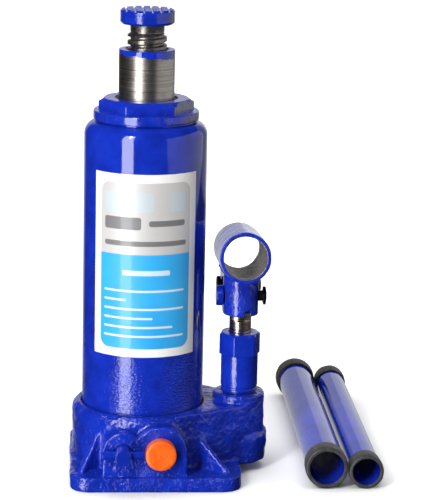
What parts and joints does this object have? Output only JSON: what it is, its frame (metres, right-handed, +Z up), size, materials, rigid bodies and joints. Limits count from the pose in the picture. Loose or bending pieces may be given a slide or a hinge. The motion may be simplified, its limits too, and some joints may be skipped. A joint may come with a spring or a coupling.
{
  "type": "hydraulic bottle jack",
  "caption": "Hydraulic bottle jack with pump, link and release valve, lifting ram with extension screw, and a two-piece tube handle beside it.",
  "frame": {"origin": "ram axis at the underside of the base", "axes": "+Z up along the ram, -Y towards the user who works the handle, +X towards the pump"},
  "size_m": [0.1611, 0.1795, 0.241],
  "materials": {
    "cast_blue": "gloss enamel over rough casting",
    "blue_paint": "gloss enamel",
    "ground_steel": "ground",
    "dark_steel": "blackened, oiled",
    "ball_steel": "polished",
    "copper": "soft annealed washer",
    "black_rubber": "matt",
    "white_plastic": "matt",
    "black_plastic": "ribbed, worn",
    "orange_plastic": "smooth",
    "label_film": "printed film in plain colour panels"
  },
  "bodies": {
    "base": {"base_casting": "cast_blue", "reservoir_tube": "blue_paint", "tube_bottom_seal": "black_rubber", "tube_top_seal": "black_rubber", "pressure_cylinder": "ground_steel", "cylinder_gasket": "copper", "top_nut": "blue_paint", "rod_seal": "black_rubber", "rod_wiper": "black_rubber", "front_label": "label_film", "suction_screen": "dark_steel", "passage_plug": "dark_steel", "pump_cylinder": "blue_paint", "pump_cylinder_gasket": "copper", "pump_rod_seal": "black_rubber", "overload_spring": "dark_steel", "overload_adjuster": "dark_steel", "overload_cap": "orange_plastic", "lug_pin": "ground_steel", "lug_pin_clip": "dark_steel"},
    "filler_plug": {"oil_filler_plug": "black_rubber"},
    "ram": {"ram": "ground_steel", "piston_cup": "black_rubber", "piston_backup_ring": "white_plastic"},
    "stop_ring": {"screw_stop_ring": "dark_steel"},
    "screw": {"extension_screw": "dark_steel", "saddle": "blue_paint"},
    "piston": {"pump_piston": "ground_steel", "pump_piston_seal": "black_rubber"},
    "socket": {"front_pin": "ground_steel", "front_pin_clip": "dark_steel", "socket_bracket": "blue_paint", "handle_socket": "blue_paint", "rear_pin": "ground_steel", "rear_pin_clip": "dark_steel"},
    "link": {"pump_link": "blue_paint"},
    "release_check": {"release_ball": "ball_steel"},
    "release_valve": {"release_stem": "blue_paint", "release_cross_pin": "blue_paint", "release_seal": "black_rubber"},
    "inlet_check": {"inlet_ball": "ball_steel"},
    "outlet_check": {"outlet_ball": "ball_steel"},
    "overload_check": {"overload_ball": "ball_steel"},
    "large_handle": {"large_handle_tube": "blue_paint", "large_handle_collars": "black_plastic"},
    "small_handle": {"small_handle_tube": "blue_paint", "small_handle_collars": "black_plastic"}
  },
  "joints": [
    {"name": "ram_lift", "type": "slide", "parent": "base", "child": "ram", "axis": [0, 0, 1], "range_m": [-0.018, 0.107]},
    {"name": "screw_rise", "type": "slide", "parent": "ram", "child": "stop_ring", "axis": [0, 0, 1], "range_m": [-0.0126, 0.0505]},
    {"name": "screw_turn", "type": "hinge", "parent": "stop_ring", "child": "screw", "pos_m": [0, 0, 0.23], "axis": [0, 0, 1], "range_deg": [-1125, 4500]},
    {"name": "piston_stroke", "type": "slide", "parent": "base", "child": "piston", "axis": [0, 0, 1], "range_m": [-0.0062, 0.0108]},
    {"name": "handle_pump", "type": "hinge", "parent": "piston", "child": "socket", "pos_m": [0.0506, 0, 0.0925], "axis": [-1, 0, 0], "range_deg": [-18, 32]},
    {"name": "link_swing", "type": "hinge", "parent": "base", "child": "link", "pos_m": [0.0506, 0.021, 0.031], "axis": [1, 0, 0], "range_deg": [-0.5, 0.8]},
    {"name": "release_back_out", "type": "slide", "parent": "base", "child": "release_check", "axis": [0, -1, 0], "range_m": [0, 0.0023]},
    {"name": "release_turn", "type": "hinge", "parent": "release_check", "child": "release_valve", "pos_m": [-0.0108, -0.04, 0.0205], "axis": [0, -1, 0], "range_deg": [0, 540]},
    {"name": "filler_plug_pull", "type": "slide", "parent": "base", "child": "filler_plug", "axis": [0, 1, 0], "range_m": [0, 0.012]},
    {"name": "inlet_ball_lift", "type": "slide", "parent": "base", "child": "inlet_check", "axis": [0, 0, 1], "range_m": [0, 0.001]},
    {"name": "outlet_ball_lift", "type": "slide", "parent": "base", "child": "outlet_check", "axis": [0, 0, 1], "range_m": [0, 0.001]},
    {"name": "overload_ball_lift", "type": "slide", "parent": "base", "child": "overload_check", "axis": [0, -1, 0], "range_m": [0, 0.0005], "deforming": ["overload_spring"]},
    {"name": "large_handle_lift", "type": "slide", "parent": "base", "child": "large_handle", "axis": [0, 0, 1], "range_m": [0, 0.25]},
    {"name": "small_handle_lift", "type": "slide", "parent": "base", "child": "small_handle", "axis": [0, 0, 1], "range_m": [0, 0.25]}
  ],
  "couplings": [
    {"joint": "screw_rise", "follows": "screw_turn", "m_per_rad": 0.00063662},
    {"joint": "piston_stroke", "follows": "handle_pump", "m_per_rad": 0.0189},
    {"joint": "link_swing", "follows": "handle_pump", "ratio": 0.02},
    {"joint": "release_back_out", "follows": "release_turn", "m_per_rad": 0.00023873}
  ]
}
